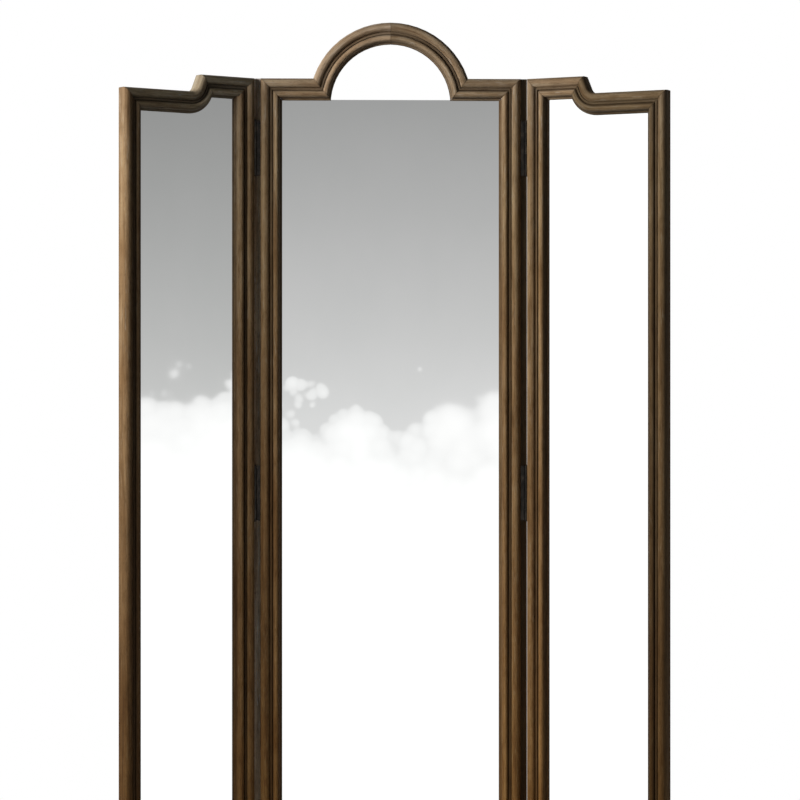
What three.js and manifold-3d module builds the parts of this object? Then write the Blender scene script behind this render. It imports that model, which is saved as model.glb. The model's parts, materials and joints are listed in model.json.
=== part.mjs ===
// Three panel floor mirror: a centre panel with an open arch on top, and two hinged wings
// with swept shoulders. Sizes are in millimetres. X runs to the right seen from the front,
// Y runs from the front to the back, Z runs up from the floor.
import * as THREE from 'three';
import { mergeVertices } from 'three/addons/utils/BufferGeometryUtils.js';
import Module from 'manifold-3d';

const wasm = await Module();
wasm.setup();

// Panels
const RAIL_TOP = 1713; // floor to the top of the straight rails and of the raised wing rails
const CENTRE_WIDTH = 543;
const WING_WIDTH = 311;
const LEFT_REST_FOLD = THREE.MathUtils.degToRad(33); // how far the left wing stands folded forward
const RIGHT_REST_FOLD = THREE.MathUtils.degToRad(27);

// Section of the frame moulding, from its outer edge to the edge by the glass
const MOULDING_WIDTH = 45;
const MOULDING_DEPTH = 30;
const TORUS_RADIUS = 10.2; // the broad round at the outer edge
const TORUS_END_ANGLE = 35; // degrees above level where the round drops into the first groove
const TORUS_STEPS = 9;
const GROOVE_WIDTH = 0.9;
const GROOVE_DEPTH = 2.2; // below the fillet
const GROOVE_SLOPE = 0.4; // how far each groove side leans
const FILLET_WIDTH = 3.6; // the flat thread between the two grooves
const FILLET_DROP = 5; // below the crest of the round
const BEAD_RADIUS = 7;
const BEAD_DROP = 2.6; // crest of the bead below the crest of the round
const BEAD_START_ANGLE = 165; // degrees, where the bead rises out of the second groove
const BEAD_STEPS = 8;
const COVE_DROP = 6.4; // fall of the cove between the bead and the lip
const COVE_HOLLOW = { across: 0.25, down: 0.62 }; // deepest bend, as shares of the cove's width and fall
const LIP_WIDTH = 3.2; // flat inner edge in front of the glass
const BACK_CHAMFER = 1;

// Rabbet, glass and back board
const RABBET_WIDTH = 10;
const RABBET_DEPTH = 10.3;
const GLASS_THICKNESS = 4;
const BOARD_THICKNESS = 4.8;
const GLASS_EDGE_CLEARANCE = 1;
const CENTRE_GLASS_TOP_LAP = 1.5; // bare top edge of the centre glass above the rails' inner edge
const SEAT_GAP = 0.2; // between pieces that lie against each other

// Arch
const ARCH_RISE = 117; // above the straight rails
const ARCH_RADIUS = 170; // outer edge
const ARCH_HALF_STEPS = 14;

// Wing top
const RAISED_LENGTH = 128; // from the hinge edge to the raised corner
const STEP_DOWN = 36; // from the raised rail to the lower shoulder
const SWEEP_RADIUS = 15; // outer edge of the concave curve
const SWEEP_ANGLE = THREE.MathUtils.degToRad(68);
const SWEEP_STEPS = 9;

// Joints between pieces of moulding
const JOINT_GAP = 0.3;
const TRIM_BLOCK = 500; // block that cuts a piece off at its joint

// Hinges
const HINGE_HEIGHT = 114;
const HINGE_TOP_OFFSET = 145; // top of the rails to the middle of the first hinge
const HINGE_SPACING = 720;
const KNUCKLE_COUNT = 5;
const KNUCKLE_GAP = 0.4;
const BARREL_RADIUS = 4;
const LEAF_THICKNESS = 2;
const MOVING_LEAF_WIDTH = 19;
const PIN_RADIUS = 2;
const PIN_CLEARANCE = 0.1;
const PIN_HEAD_RADIUS = 3;
const PIN_HEAD_HEIGHT = 2;
const PIN_HEAD_FLAT = 0.7; // share of the head's radius that stays flat on top
const AXIS_DEPTH = 9; // hinge axis behind the crest of the moulding
const RECESS_CLEARANCE = 0.4; // round the barrel and the leaf let into the wing
const ROUND_SEGMENTS = 24;

// Hinge batten on each side of the centre panel
const BATTEN_WIDTH = 13.4;
const WING_RUNNING_GAP = 0.5; // batten to wing when the panels are in line

// Floor glides
const GLIDE_RADIUS = 11;
const GLIDE_HEIGHT = 4;

// The wing leaf is let in flush, with its outer face in line with the barrel's outer edge.
const AXIS_TO_WING = BARREL_RADIUS - LEAF_THICKNESS;
const AXIS_TO_CENTRE = BATTEN_WIDTH + WING_RUNNING_GAP - AXIS_TO_WING;
const AXIS_X = CENTRE_WIDTH / 2 + AXIS_TO_CENTRE;
const AXIS_Y = AXIS_DEPTH - MOULDING_DEPTH;
const HINGE_CENTRES = {
  top: RAIL_TOP - HINGE_TOP_OFFSET,
  middle: RAIL_TOP - HINGE_TOP_OFFSET - HINGE_SPACING,
  bottom: RAIL_TOP - HINGE_TOP_OFFSET - 2 * HINGE_SPACING,
};
const GLASS_LAP = RABBET_WIDTH - GLASS_EDGE_CLEARANCE;

const oak = new THREE.MeshStandardMaterial({ color: 0x7d6749, roughness: 0.62, metalness: 0 });
const silvered = new THREE.MeshStandardMaterial({ color: 0xd9dede, roughness: 0.04, metalness: 1 });
const board = new THREE.MeshStandardMaterial({ color: 0x8c7350, roughness: 0.8, metalness: 0 });
const darkMetal = new THREE.MeshStandardMaterial({ color: 0x2e2c29, roughness: 0.5, metalness: 0.8 });
const glideNylon = new THREE.MeshStandardMaterial({ color: 0x26231f, roughness: 0.6, metalness: 0 });

// Solids

function toSolid(geometry) {
  const bare = geometry.clone();
  bare.deleteAttribute('normal');
  bare.deleteAttribute('uv');
  const merged = mergeVertices(bare, 1e-4);
  return new wasm.Manifold(new wasm.Mesh({
    numProp: 3,
    vertProperties: new Float32Array(merged.attributes.position.array),
    triVerts: new Uint32Array(merged.index.array),
  }));
}

function toGeometry(solid) {
  const mesh = solid.getMesh();
  const geometry = new THREE.BufferGeometry();
  geometry.setAttribute('position', new THREE.BufferAttribute(new Float32Array(mesh.vertProperties), 3));
  geometry.setIndex(new THREE.BufferAttribute(new Uint32Array(mesh.triVerts), 1));
  geometry.computeVertexNormals();
  return geometry;
}

function piece(name, solid, material) {
  const mesh = new THREE.Mesh(toGeometry(solid), material.clone());
  mesh.name = name;
  return mesh;
}

// A block given by its lowest and highest corners.
function block(low, high) {
  const geometry = new THREE.BoxGeometry(high[0] - low[0], high[1] - low[1], high[2] - low[2]);
  geometry.translate((low[0] + high[0]) / 2, (low[1] + high[1]) / 2, (low[2] + high[2]) / 2);
  return toSolid(geometry);
}

// An upright round bar about the Z axis.
function roundBar(radius, bottom, top) {
  const geometry = new THREE.CylinderGeometry(radius, radius, top - bottom, ROUND_SEGMENTS);
  geometry.rotateX(Math.PI / 2);
  geometry.translate(0, 0, (top + bottom) / 2);
  return toSolid(geometry);
}

// A flat plate lying behind the frame's sight edge, from a front-view outline.
function plate(outline, back, thickness) {
  const geometry = new THREE.ExtrudeGeometry(new THREE.Shape(outline), {
    depth: thickness,
    bevelEnabled: false,
  });
  geometry.rotateX(Math.PI / 2);
  geometry.translate(0, -back, 0);
  return toSolid(geometry);
}

// Moulding

function arcPoints(centreX, centreY, radius, startDegrees, endDegrees, steps) {
  const points = [];
  for (let i = 0; i <= steps; i += 1) {
    const angle = THREE.MathUtils.degToRad(THREE.MathUtils.lerp(startDegrees, endDegrees, i / steps));
    points.push([centreX + radius * Math.cos(angle), centreY + radius * Math.sin(angle)]);
  }
  return points;
}

// The section as [distance from the outer edge, height above the back] pairs.
function mouldingSection() {
  const torusHeight = MOULDING_DEPTH - TORUS_RADIUS;
  const torus = arcPoints(TORUS_RADIUS, torusHeight, TORUS_RADIUS, 180, TORUS_END_ANGLE, TORUS_STEPS);
  const torusEnd = torus[torus.length - 1][0];
  const filletHeight = MOULDING_DEPTH - FILLET_DROP;
  const grooveHeight = filletHeight - GROOVE_DEPTH;
  const filletStart = torusEnd + 2 * GROOVE_SLOPE + GROOVE_WIDTH + GROOVE_SLOPE;
  const filletEnd = filletStart + FILLET_WIDTH;
  const grooveEnd = filletEnd + GROOVE_SLOPE + GROOVE_WIDTH;
  const beadRise = BEAD_RADIUS * Math.cos(THREE.MathUtils.degToRad(180 - BEAD_START_ANGLE));
  const beadCentre = [grooveEnd + beadRise, MOULDING_DEPTH - BEAD_DROP - BEAD_RADIUS];
  const bead = arcPoints(beadCentre[0], beadCentre[1], BEAD_RADIUS, BEAD_START_ANGLE, 0, BEAD_STEPS);
  const beadEnd = bead[bead.length - 1];
  const lipStart = MOULDING_WIDTH - LIP_WIDTH;
  const lipHeight = beadEnd[1] - COVE_DROP;
  return [
    [BACK_CHAMFER, 0],
    [0, BACK_CHAMFER],
    ...torus,
    [torusEnd + 2 * GROOVE_SLOPE, grooveHeight],
    [torusEnd + 2 * GROOVE_SLOPE + GROOVE_WIDTH, grooveHeight],
    [filletStart, filletHeight],
    [filletEnd, filletHeight],
    [filletEnd + GROOVE_SLOPE, grooveHeight],
    ...bead,
    [
      THREE.MathUtils.lerp(beadEnd[0], lipStart, COVE_HOLLOW.across),
      THREE.MathUtils.lerp(beadEnd[1], lipHeight, COVE_HOLLOW.down),
    ],
    [lipStart, lipHeight],
    [MOULDING_WIDTH, lipHeight - BACK_CHAMFER],
    [MOULDING_WIDTH, RABBET_DEPTH],
    [MOULDING_WIDTH - RABBET_WIDTH, RABBET_DEPTH],
    [MOULDING_WIDTH - RABBET_WIDTH, 0],
  ];
}

// The outer edge of a run of moulding, held as stations with exact directions. It runs
// clockwise seen from the front, so the inside of the panel is on the right of the travel.
class EdgePath extends THREE.Curve {
  constructor(stations) {
    super();
    this.stations = stations;
  }

  station(u) {
    return this.stations[Math.round(u * (this.stations.length - 1))];
  }

  getPointAt(u) {
    return new THREE.Vector3(this.station(u).x, 0, this.station(u).z);
  }

  // The section's height points to the front all along the run.
  computeFrenetFrames() {
    const front = new THREE.Vector3(0, -1, 0);
    const tangents = this.stations.map(({ heading }) => (
      new THREE.Vector3(Math.cos(heading), 0, Math.sin(heading))
    ));
    return {
      tangents,
      normals: tangents.map(() => front.clone()),
      binormals: tangents.map((tangent) => tangent.clone().cross(front)),
    };
  }
}

function mouldingRun(stations) {
  const path = new EdgePath(stations);
  const outline = mouldingSection().map(([inward, height]) => new THREE.Vector2(height, inward));
  const geometry = new THREE.ExtrudeGeometry(new THREE.Shape(outline), {
    steps: stations.length - 1,
    extrudePath: path,
  });
  return toSolid(geometry);
}

// A straight run between two points, lengthened at its start where it is trimmed at a hollow corner.
function straightStations(start, end, extraStart = 0) {
  const heading = Math.atan2(end.z - start.z, end.x - start.x);
  const along = { x: Math.cos(heading), z: Math.sin(heading) };
  return [
    { x: start.x - along.x * extraStart, z: start.z - along.z * extraStart, heading },
    { x: end.x, z: end.z, heading },
  ];
}

// Cuts off all of a piece that lies beyond the joint line from the outer to the inner corner.
function trimAtJoint(solid, outer, inner, beyond) {
  let normal = { x: inner.z - outer.z, z: outer.x - inner.x };
  const length = Math.hypot(normal.x, normal.z);
  const side = Math.sign((beyond.x - outer.x) * normal.x + (beyond.z - outer.z) * normal.z);
  normal = { x: (side * normal.x) / length, z: (side * normal.z) / length };
  const reach = TRIM_BLOCK / 2 - JOINT_GAP / 2;
  const cutter = new THREE.BoxGeometry(TRIM_BLOCK, TRIM_BLOCK, TRIM_BLOCK);
  cutter.rotateY(-Math.atan2(normal.z, normal.x));
  cutter.translate(outer.x + normal.x * reach, 0, outer.z + normal.z * reach);
  return solid.subtract(toSolid(cutter));
}

// The point at a given distance inside a mitred corner of the outer edge.
function insideCorner(corner, headingIn, headingOut, inset) {
  const middle = (headingIn + headingOut) / 2 - Math.PI / 2;
  const reach = inset / Math.cos((headingOut - headingIn) / 2);
  return { x: corner.x + Math.cos(middle) * reach, z: corner.z + Math.sin(middle) * reach };
}

// Centre panel

const HALF_CENTRE = CENTRE_WIDTH / 2;
const ARCH_CENTRE_Z = RAIL_TOP + ARCH_RISE - ARCH_RADIUS;
const ARCH_OUTER_FOOT = {
  x: Math.sqrt(ARCH_RADIUS ** 2 - (RAIL_TOP - ARCH_CENTRE_Z) ** 2),
  z: RAIL_TOP,
};
const SIGHT_LINE = RAIL_TOP - MOULDING_WIDTH;
const ARCH_INNER_FOOT = {
  x: Math.sqrt((ARCH_RADIUS - MOULDING_WIDTH) ** 2 - (SIGHT_LINE - ARCH_CENTRE_Z) ** 2),
  z: SIGHT_LINE,
};
const CENTRE_TOP_CORNER = { x: HALF_CENTRE, z: RAIL_TOP };
const CENTRE_BOTTOM_CORNER = { x: HALF_CENTRE, z: GLIDE_HEIGHT };
const INNER_TOP_CORNER = { x: HALF_CENTRE - MOULDING_WIDTH, z: SIGHT_LINE };
const INNER_BOTTOM_CORNER = { x: HALF_CENTRE - MOULDING_WIDTH, z: GLIDE_HEIGHT + MOULDING_WIDTH };

function centreStile() {
  const run = mouldingRun(straightStations(CENTRE_TOP_CORNER, CENTRE_BOTTOM_CORNER));
  const top = trimAtJoint(run, CENTRE_TOP_CORNER, INNER_TOP_CORNER, { x: 0, z: RAIL_TOP });
  return trimAtJoint(top, CENTRE_BOTTOM_CORNER, INNER_BOTTOM_CORNER, { x: 0, z: GLIDE_HEIGHT });
}

function centreTopRail() {
  const run = mouldingRun(straightStations(ARCH_OUTER_FOOT, CENTRE_TOP_CORNER, MOULDING_WIDTH));
  const outer = trimAtJoint(run, CENTRE_TOP_CORNER, INNER_TOP_CORNER, CENTRE_BOTTOM_CORNER);
  return trimAtJoint(outer, ARCH_OUTER_FOOT, ARCH_INNER_FOOT, { x: 0, z: RAIL_TOP });
}

function archHalf() {
  const stations = [];
  for (let i = 0; i <= ARCH_HALF_STEPS; i += 1) {
    const angle = (Math.PI / 2) * (1 - i / ARCH_HALF_STEPS);
    stations.push({
      x: ARCH_RADIUS * Math.cos(angle),
      z: ARCH_CENTRE_Z + ARCH_RADIUS * Math.sin(angle),
      heading: angle - Math.PI / 2,
    });
  }
  const run = mouldingRun(stations);
  const crown = { x: 0, z: ARCH_CENTRE_Z + ARCH_RADIUS };
  const split = trimAtJoint(run, crown, { x: 0, z: ARCH_CENTRE_Z }, { x: -1, z: ARCH_CENTRE_Z });
  return trimAtJoint(split, ARCH_OUTER_FOOT, ARCH_INNER_FOOT, CENTRE_TOP_CORNER);
}

function centreBottomRail() {
  const left = { x: -HALF_CENTRE, z: GLIDE_HEIGHT };
  const innerLeft = { x: -INNER_BOTTOM_CORNER.x, z: INNER_BOTTOM_CORNER.z };
  const run = mouldingRun(straightStations(CENTRE_BOTTOM_CORNER, left));
  const right = trimAtJoint(run, CENTRE_BOTTOM_CORNER, INNER_BOTTOM_CORNER, CENTRE_TOP_CORNER);
  return trimAtJoint(right, left, innerLeft, { x: -HALF_CENTRE, z: RAIL_TOP });
}

function centreInfill(lap, topLap) {
  const side = HALF_CENTRE - MOULDING_WIDTH + lap;
  const bottom = GLIDE_HEIGHT + MOULDING_WIDTH - lap;
  const top = SIGHT_LINE + topLap;
  return [
    new THREE.Vector2(-side, bottom),
    new THREE.Vector2(side, bottom),
    new THREE.Vector2(side, top),
    new THREE.Vector2(-side, top),
  ];
}

function hingeBatten() {
  const start = HALF_CENTRE + SEAT_GAP;
  return block(
    [start, AXIS_Y + BARREL_RADIUS + SEAT_GAP, GLIDE_HEIGHT],
    [HALF_CENTRE + BATTEN_WIDTH, 0, RAIL_TOP],
  );
}

function glide(x) {
  const solid = roundBar(GLIDE_RADIUS, 0, GLIDE_HEIGHT - SEAT_GAP);
  return solid.translate([x, -MOULDING_DEPTH / 2, 0]);
}

// Wing, drawn in line with the centre panel and to its right. X is counted from the hinge edge.

const LOWER_TOP = RAIL_TOP - STEP_DOWN;
const SLOPE_LENGTH = (STEP_DOWN - SWEEP_RADIUS * (1 - Math.cos(SWEEP_ANGLE))) / Math.sin(SWEEP_ANGLE);
const SWEEP_CENTRE = {
  x: RAISED_LENGTH + SLOPE_LENGTH * Math.cos(SWEEP_ANGLE) + SWEEP_RADIUS * Math.sin(SWEEP_ANGLE),
  z: LOWER_TOP + SWEEP_RADIUS,
};

// Outer corners in clockwise order, with the headings of the edges that meet there.
const WING_CORNERS = {
  hingeBottom: { x: 0, z: GLIDE_HEIGHT, headings: [-Math.PI, -1.5 * Math.PI] },
  hingeTop: { x: 0, z: RAIL_TOP, headings: [Math.PI / 2, 0] },
  raised: { x: RAISED_LENGTH, z: RAIL_TOP, headings: [0, -SWEEP_ANGLE] },
  outerTop: { x: WING_WIDTH, z: LOWER_TOP, headings: [0, -Math.PI / 2] },
  outerBottom: { x: WING_WIDTH, z: GLIDE_HEIGHT, headings: [-Math.PI / 2, -Math.PI] },
};

function innerOf(corner, inset = MOULDING_WIDTH) {
  return insideCorner(corner, corner.headings[0], corner.headings[1], inset);
}

// The swept edge at a given distance inside the outer edge, from the slope to the shoulder.
function sweepStations(inset) {
  const stations = [];
  for (let i = 0; i <= SWEEP_STEPS; i += 1) {
    const heading = -SWEEP_ANGLE * (1 - i / SWEEP_STEPS);
    const radius = SWEEP_RADIUS + inset;
    stations.push({
      x: SWEEP_CENTRE.x + radius * Math.sin(heading),
      z: SWEEP_CENTRE.z - radius * Math.cos(heading),
      heading,
    });
  }
  return stations;
}

function wingRun(startCorner, endCorner) {
  const run = mouldingRun(straightStations(startCorner, endCorner));
  return trimWingRun(run, startCorner, endCorner);
}

// Mitres both ends of a run at the corners it lies between.
function trimWingRun(run, startCorner, endCorner) {
  const before = {
    x: startCorner.x - Math.cos(startCorner.headings[0]),
    z: startCorner.z - Math.sin(startCorner.headings[0]),
  };
  const after = {
    x: endCorner.x + Math.cos(endCorner.headings[1]),
    z: endCorner.z + Math.sin(endCorner.headings[1]),
  };
  const started = trimAtJoint(run, startCorner, innerOf(startCorner), before);
  return trimAtJoint(started, endCorner, innerOf(endCorner), after);
}

function sweptRail() {
  const stations = [
    { x: RAISED_LENGTH, z: RAIL_TOP, heading: -SWEEP_ANGLE },
    ...sweepStations(0),
    { x: WING_WIDTH, z: LOWER_TOP, heading: 0 },
  ];
  return trimWingRun(mouldingRun(stations), WING_CORNERS.raised, WING_CORNERS.outerTop);
}

// The wing's hinge stile is cut away round each barrel and let in for each leaf.
function wingHingeStile() {
  let stile = wingRun(WING_CORNERS.hingeBottom, WING_CORNERS.hingeTop);
  const reach = HINGE_HEIGHT / 2 + PIN_HEAD_HEIGHT + RECESS_CLEARANCE;
  const leafReach = HINGE_HEIGHT / 2 + RECESS_CLEARANCE;
  for (const centre of Object.values(HINGE_CENTRES)) {
    const barrel = roundBar(BARREL_RADIUS + RECESS_CLEARANCE, centre - reach, centre + reach);
    const recess = block(
      [-AXIS_TO_WING, AXIS_Y, centre - leafReach],
      [LEAF_THICKNESS + SEAT_GAP, AXIS_Y + MOVING_LEAF_WIDTH + RECESS_CLEARANCE, centre + leafReach],
    );
    stile = stile.subtract(barrel.translate([-AXIS_TO_WING, AXIS_Y, 0])).subtract(recess);
  }
  return stile;
}

function wingInfill(lap) {
  const inset = MOULDING_WIDTH - lap;
  const corners = WING_CORNERS;
  const points = [
    innerOf(corners.hingeBottom, inset),
    innerOf(corners.hingeTop, inset),
    innerOf(corners.raised, inset),
    ...sweepStations(inset),
    innerOf(corners.outerTop, inset),
    innerOf(corners.outerBottom, inset),
  ];
  return points.map(({ x, z }) => new THREE.Vector2(x, z)).reverse();
}

// Hinges, drawn about their own axis: X towards the wing, Y to the back, Z up.

const KNUCKLE_PITCH = HINGE_HEIGHT / KNUCKLE_COUNT;

function knuckleBar(index, radius, extra) {
  const bottom = -HINGE_HEIGHT / 2 + index * KNUCKLE_PITCH + KNUCKLE_GAP / 2 - extra;
  return roundBar(radius, bottom, bottom + KNUCKLE_PITCH - KNUCKLE_GAP + 2 * extra);
}

// Joins a leaf plate to its own knuckles and clears it round the other leaf's knuckles.
function leafWithKnuckles(leafPlate, firstKnuckle) {
  let leaf = leafPlate;
  for (let index = 0; index < KNUCKLE_COUNT; index += 1) {
    if (index % 2 === firstKnuckle) {
      leaf = leaf.add(knuckleBar(index, BARREL_RADIUS, 0));
    } else {
      leaf = leaf.subtract(knuckleBar(index, BARREL_RADIUS + KNUCKLE_GAP, KNUCKLE_GAP));
    }
  }
  const bore = roundBar(PIN_RADIUS + PIN_CLEARANCE, -HINGE_HEIGHT, HINGE_HEIGHT);
  return leaf.subtract(bore);
}

function fixedLeaf() {
  const leafPlate = block(
    [-AXIS_TO_CENTRE + WING_RUNNING_GAP, BARREL_RADIUS - LEAF_THICKNESS, -HINGE_HEIGHT / 2 + KNUCKLE_GAP / 2],
    [0, BARREL_RADIUS, HINGE_HEIGHT / 2 - KNUCKLE_GAP / 2],
  );
  return leafWithKnuckles(leafPlate, 0);
}

function movingLeaf() {
  const leafPlate = block(
    [BARREL_RADIUS - LEAF_THICKNESS, 0, -HINGE_HEIGHT / 2 + KNUCKLE_GAP / 2],
    [BARREL_RADIUS, MOVING_LEAF_WIDTH, HINGE_HEIGHT / 2 - KNUCKLE_GAP / 2],
  );
  return leafWithKnuckles(leafPlate, 1);
}

function hingePin() {
  const end = HINGE_HEIGHT / 2 + KNUCKLE_GAP / 2;
  const profile = [
    [0, -end - PIN_HEAD_HEIGHT],
    [PIN_HEAD_RADIUS * PIN_HEAD_FLAT, -end - PIN_HEAD_HEIGHT],
    [PIN_HEAD_RADIUS, -end - PIN_HEAD_HEIGHT / 2],
    [PIN_HEAD_RADIUS, -end],
    [PIN_RADIUS, -end],
    [PIN_RADIUS, end],
    [PIN_HEAD_RADIUS, end],
    [PIN_HEAD_RADIUS, end + PIN_HEAD_HEIGHT / 2],
    [PIN_HEAD_RADIUS * PIN_HEAD_FLAT, end + PIN_HEAD_HEIGHT],
    [0, end + PIN_HEAD_HEIGHT],
  ];
  const geometry = new THREE.LatheGeometry(profile.map(([r, z]) => new THREE.Vector2(r, z)), ROUND_SEGMENTS);
  geometry.rotateX(Math.PI / 2);
  return toSolid(geometry);
}

// Assembly. Each side is drawn on the right, and the left side is its mirror image.

const REST_FOLDS = { left: LEFT_REST_FOLD, right: RIGHT_REST_FOLD };
const INFILL_BACK = RABBET_DEPTH - SEAT_GAP - GLASS_THICKNESS; // back of the glass above the frame's back
const BOARD_BACK = INFILL_BACK - SEAT_GAP - BOARD_THICKNESS;

function sideOfCentre(side) {
  const group = new THREE.Group();
  group.name = `centre_${side}_side`;
  group.add(
    piece(`centre_${side}_stile`, centreStile(), oak),
    piece(`centre_top_rail_${side}`, centreTopRail(), oak),
    piece(`arch_${side}_half`, archHalf(), oak),
    piece(`${side}_hinge_batten`, hingeBatten(), oak),
    piece(`centre_${side}_glide`, glide(HALF_CENTRE - MOULDING_WIDTH / 2), glideNylon),
  );
  for (const [level, height] of Object.entries(HINGE_CENTRES)) {
    const hinge = new THREE.Group();
    hinge.name = `${side}_${level}_hinge`;
    hinge.position.set(AXIS_X, AXIS_Y, height);
    hinge.add(
      piece(`${side}_${level}_hinge_fixed_leaf`, fixedLeaf(), darkMetal),
      piece(`${side}_${level}_hinge_pin`, hingePin(), darkMetal),
    );
    group.add(hinge);
  }
  return group;
}

function wing(side) {
  const corners = WING_CORNERS;
  const panel = new THREE.Group();
  panel.name = `${side}_wing_panel`;
  panel.position.set(AXIS_TO_WING, -AXIS_Y, 0);
  panel.add(
    piece(`${side}_wing_hinge_stile`, wingHingeStile(), oak),
    piece(`${side}_wing_raised_rail`, wingRun(corners.hingeTop, corners.raised), oak),
    piece(`${side}_wing_swept_rail`, sweptRail(), oak),
    piece(`${side}_wing_outer_stile`, wingRun(corners.outerTop, corners.outerBottom), oak),
    piece(`${side}_wing_bottom_rail`, wingRun(corners.outerBottom, corners.hingeBottom), oak),
    piece(`${side}_wing_mirror`, plate(wingInfill(GLASS_LAP), INFILL_BACK, GLASS_THICKNESS), silvered),
    piece(`${side}_wing_back_board`, plate(wingInfill(GLASS_LAP), BOARD_BACK, BOARD_THICKNESS), board),
    piece(`${side}_wing_inner_glide`, glide(MOULDING_WIDTH / 2), glideNylon),
    piece(`${side}_wing_outer_glide`, glide(WING_WIDTH - MOULDING_WIDTH / 2), glideNylon),
  );
  const pivot = new THREE.Group();
  pivot.name = `${side}_wing`;
  pivot.position.set(AXIS_X, AXIS_Y, 0);
  pivot.rotation.z = -REST_FOLDS[side];
  pivot.add(panel);
  for (const [level, height] of Object.entries(HINGE_CENTRES)) {
    const leaf = piece(`${side}_${level}_hinge_moving_leaf`, movingLeaf(), darkMetal);
    leaf.position.z = height;
    pivot.add(leaf);
  }
  return pivot;
}

const mirror = new THREE.Group();
mirror.name = 'three_panel_floor_mirror';
for (const side of ['left', 'right']) {
  const half = new THREE.Group();
  half.name = `${side}_side`;
  half.scale.x = side === 'left' ? -1 : 1;
  half.add(sideOfCentre(side), wing(side));
  mirror.add(half);
}
const centreGlass = centreInfill(GLASS_LAP, CENTRE_GLASS_TOP_LAP);
mirror.add(
  piece('centre_bottom_rail', centreBottomRail(), oak),
  piece('centre_mirror', plate(centreGlass, INFILL_BACK, GLASS_THICKNESS), silvered),
  piece('centre_back_board', plate(centreGlass, BOARD_BACK, BOARD_THICKNESS), board),
);

// The origin is on the floor, in the middle of the space the mirror takes up.
mirror.updateMatrixWorld(true);
const space = new THREE.Box3().setFromObject(mirror, true);
mirror.position.x = -(space.min.x + space.max.x) / 2;
mirror.position.y = -(space.min.y + space.max.y) / 2;
mirror.updateMatrixWorld(true);

export default mirror;
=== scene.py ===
"""Looks of the three panel floor mirror: stained oak mouldings, silvered glass, dark hinges and backs.

Everything is in metres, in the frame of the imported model. X runs to the right, Y to the back, Z up.
"""

import json
import math

import bmesh
import bpy
import numpy as np
from mathutils import Matrix, Vector


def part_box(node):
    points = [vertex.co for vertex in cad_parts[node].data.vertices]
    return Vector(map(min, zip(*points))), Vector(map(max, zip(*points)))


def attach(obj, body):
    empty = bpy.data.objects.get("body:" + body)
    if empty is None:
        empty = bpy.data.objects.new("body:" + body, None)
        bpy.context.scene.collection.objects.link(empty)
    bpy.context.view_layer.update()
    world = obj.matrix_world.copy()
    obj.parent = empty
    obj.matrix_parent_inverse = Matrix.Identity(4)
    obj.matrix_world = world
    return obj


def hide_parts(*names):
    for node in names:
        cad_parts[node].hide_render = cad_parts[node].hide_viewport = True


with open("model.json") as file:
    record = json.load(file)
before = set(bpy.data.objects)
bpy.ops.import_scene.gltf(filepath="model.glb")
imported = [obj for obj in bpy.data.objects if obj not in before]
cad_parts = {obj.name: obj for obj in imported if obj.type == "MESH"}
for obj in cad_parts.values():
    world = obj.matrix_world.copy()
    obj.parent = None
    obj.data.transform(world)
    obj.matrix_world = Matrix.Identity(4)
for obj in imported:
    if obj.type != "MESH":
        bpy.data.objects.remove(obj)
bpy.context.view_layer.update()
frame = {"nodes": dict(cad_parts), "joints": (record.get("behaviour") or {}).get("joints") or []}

MM = 0.001

# Sizes of the object that the finish follows
RAIL_TOP = 1713 * MM
HALF_CENTRE = 271.5 * MM
WING_WIDTH = 311 * MM
REST_FOLD = {"left": math.radians(33), "right": math.radians(27)}
MOULDING_WIDTH = 45 * MM
MOULDING_DEPTH = 30 * MM
RABBET_WIDTH = 10 * MM
RABBET_DEPTH = 10.3 * MM
BOARD_SETBACK = 1.1 * MM  # back of the board inside the back of the frame
ARCH_RISE = 117 * MM
ARCH_RADIUS = 170 * MM
RAISED_LENGTH = 128 * MM
STEP_DOWN = 36 * MM
SWEEP_RADIUS = 15 * MM
SWEEP_ANGLE = math.radians(68)
BASE_HEIGHT = 4 * MM  # underside of the frames, on top of the glides
BARREL_RADIUS = 4 * MM
LEAF_THICKNESS = 2 * MM
AXIS_DEPTH = 9 * MM  # hinge axis behind the crest of the moulding
AXIS_TO_WING = 2 * MM
HINGE_LEVELS = ("top", "middle", "bottom")
SIDES = {"left": -1, "right": 1}

# Places across the moulding, counted from its outer edge
GROOVES = (19.8 * MM, 25.1 * MM)
VALLEY = 23.2 * MM
ROUND_CREST = 10 * MM
BEAD_CREST = 32.5 * MM
BEAD_FOOT = 41.0 * MM
SIGHT_EDGE = 44.6 * MM

# Bands along the moulding, of dark glazing with painted shade, then of painted highlight: distance from the
# outer edge, half width and strength
GLAZE_AND_SHADE_BANDS = (
    (VALLEY, 5.2 * MM, 0.62),
    (GROOVES[0], 1.9 * MM, 0.2),
    (GROOVES[1], 1.9 * MM, 0.2),
    (BEAD_FOOT, 2.0 * MM, 0.6),
    (SIGHT_EDGE, 1.4 * MM, 0.8),
)
# Painted highlight on the crests of the round and the bead
PAINTED_HIGHLIGHT_BANDS = (
    (ROUND_CREST, 7 * MM, 0.3),
    (BEAD_CREST, 5 * MM, 0.9),
)

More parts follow.
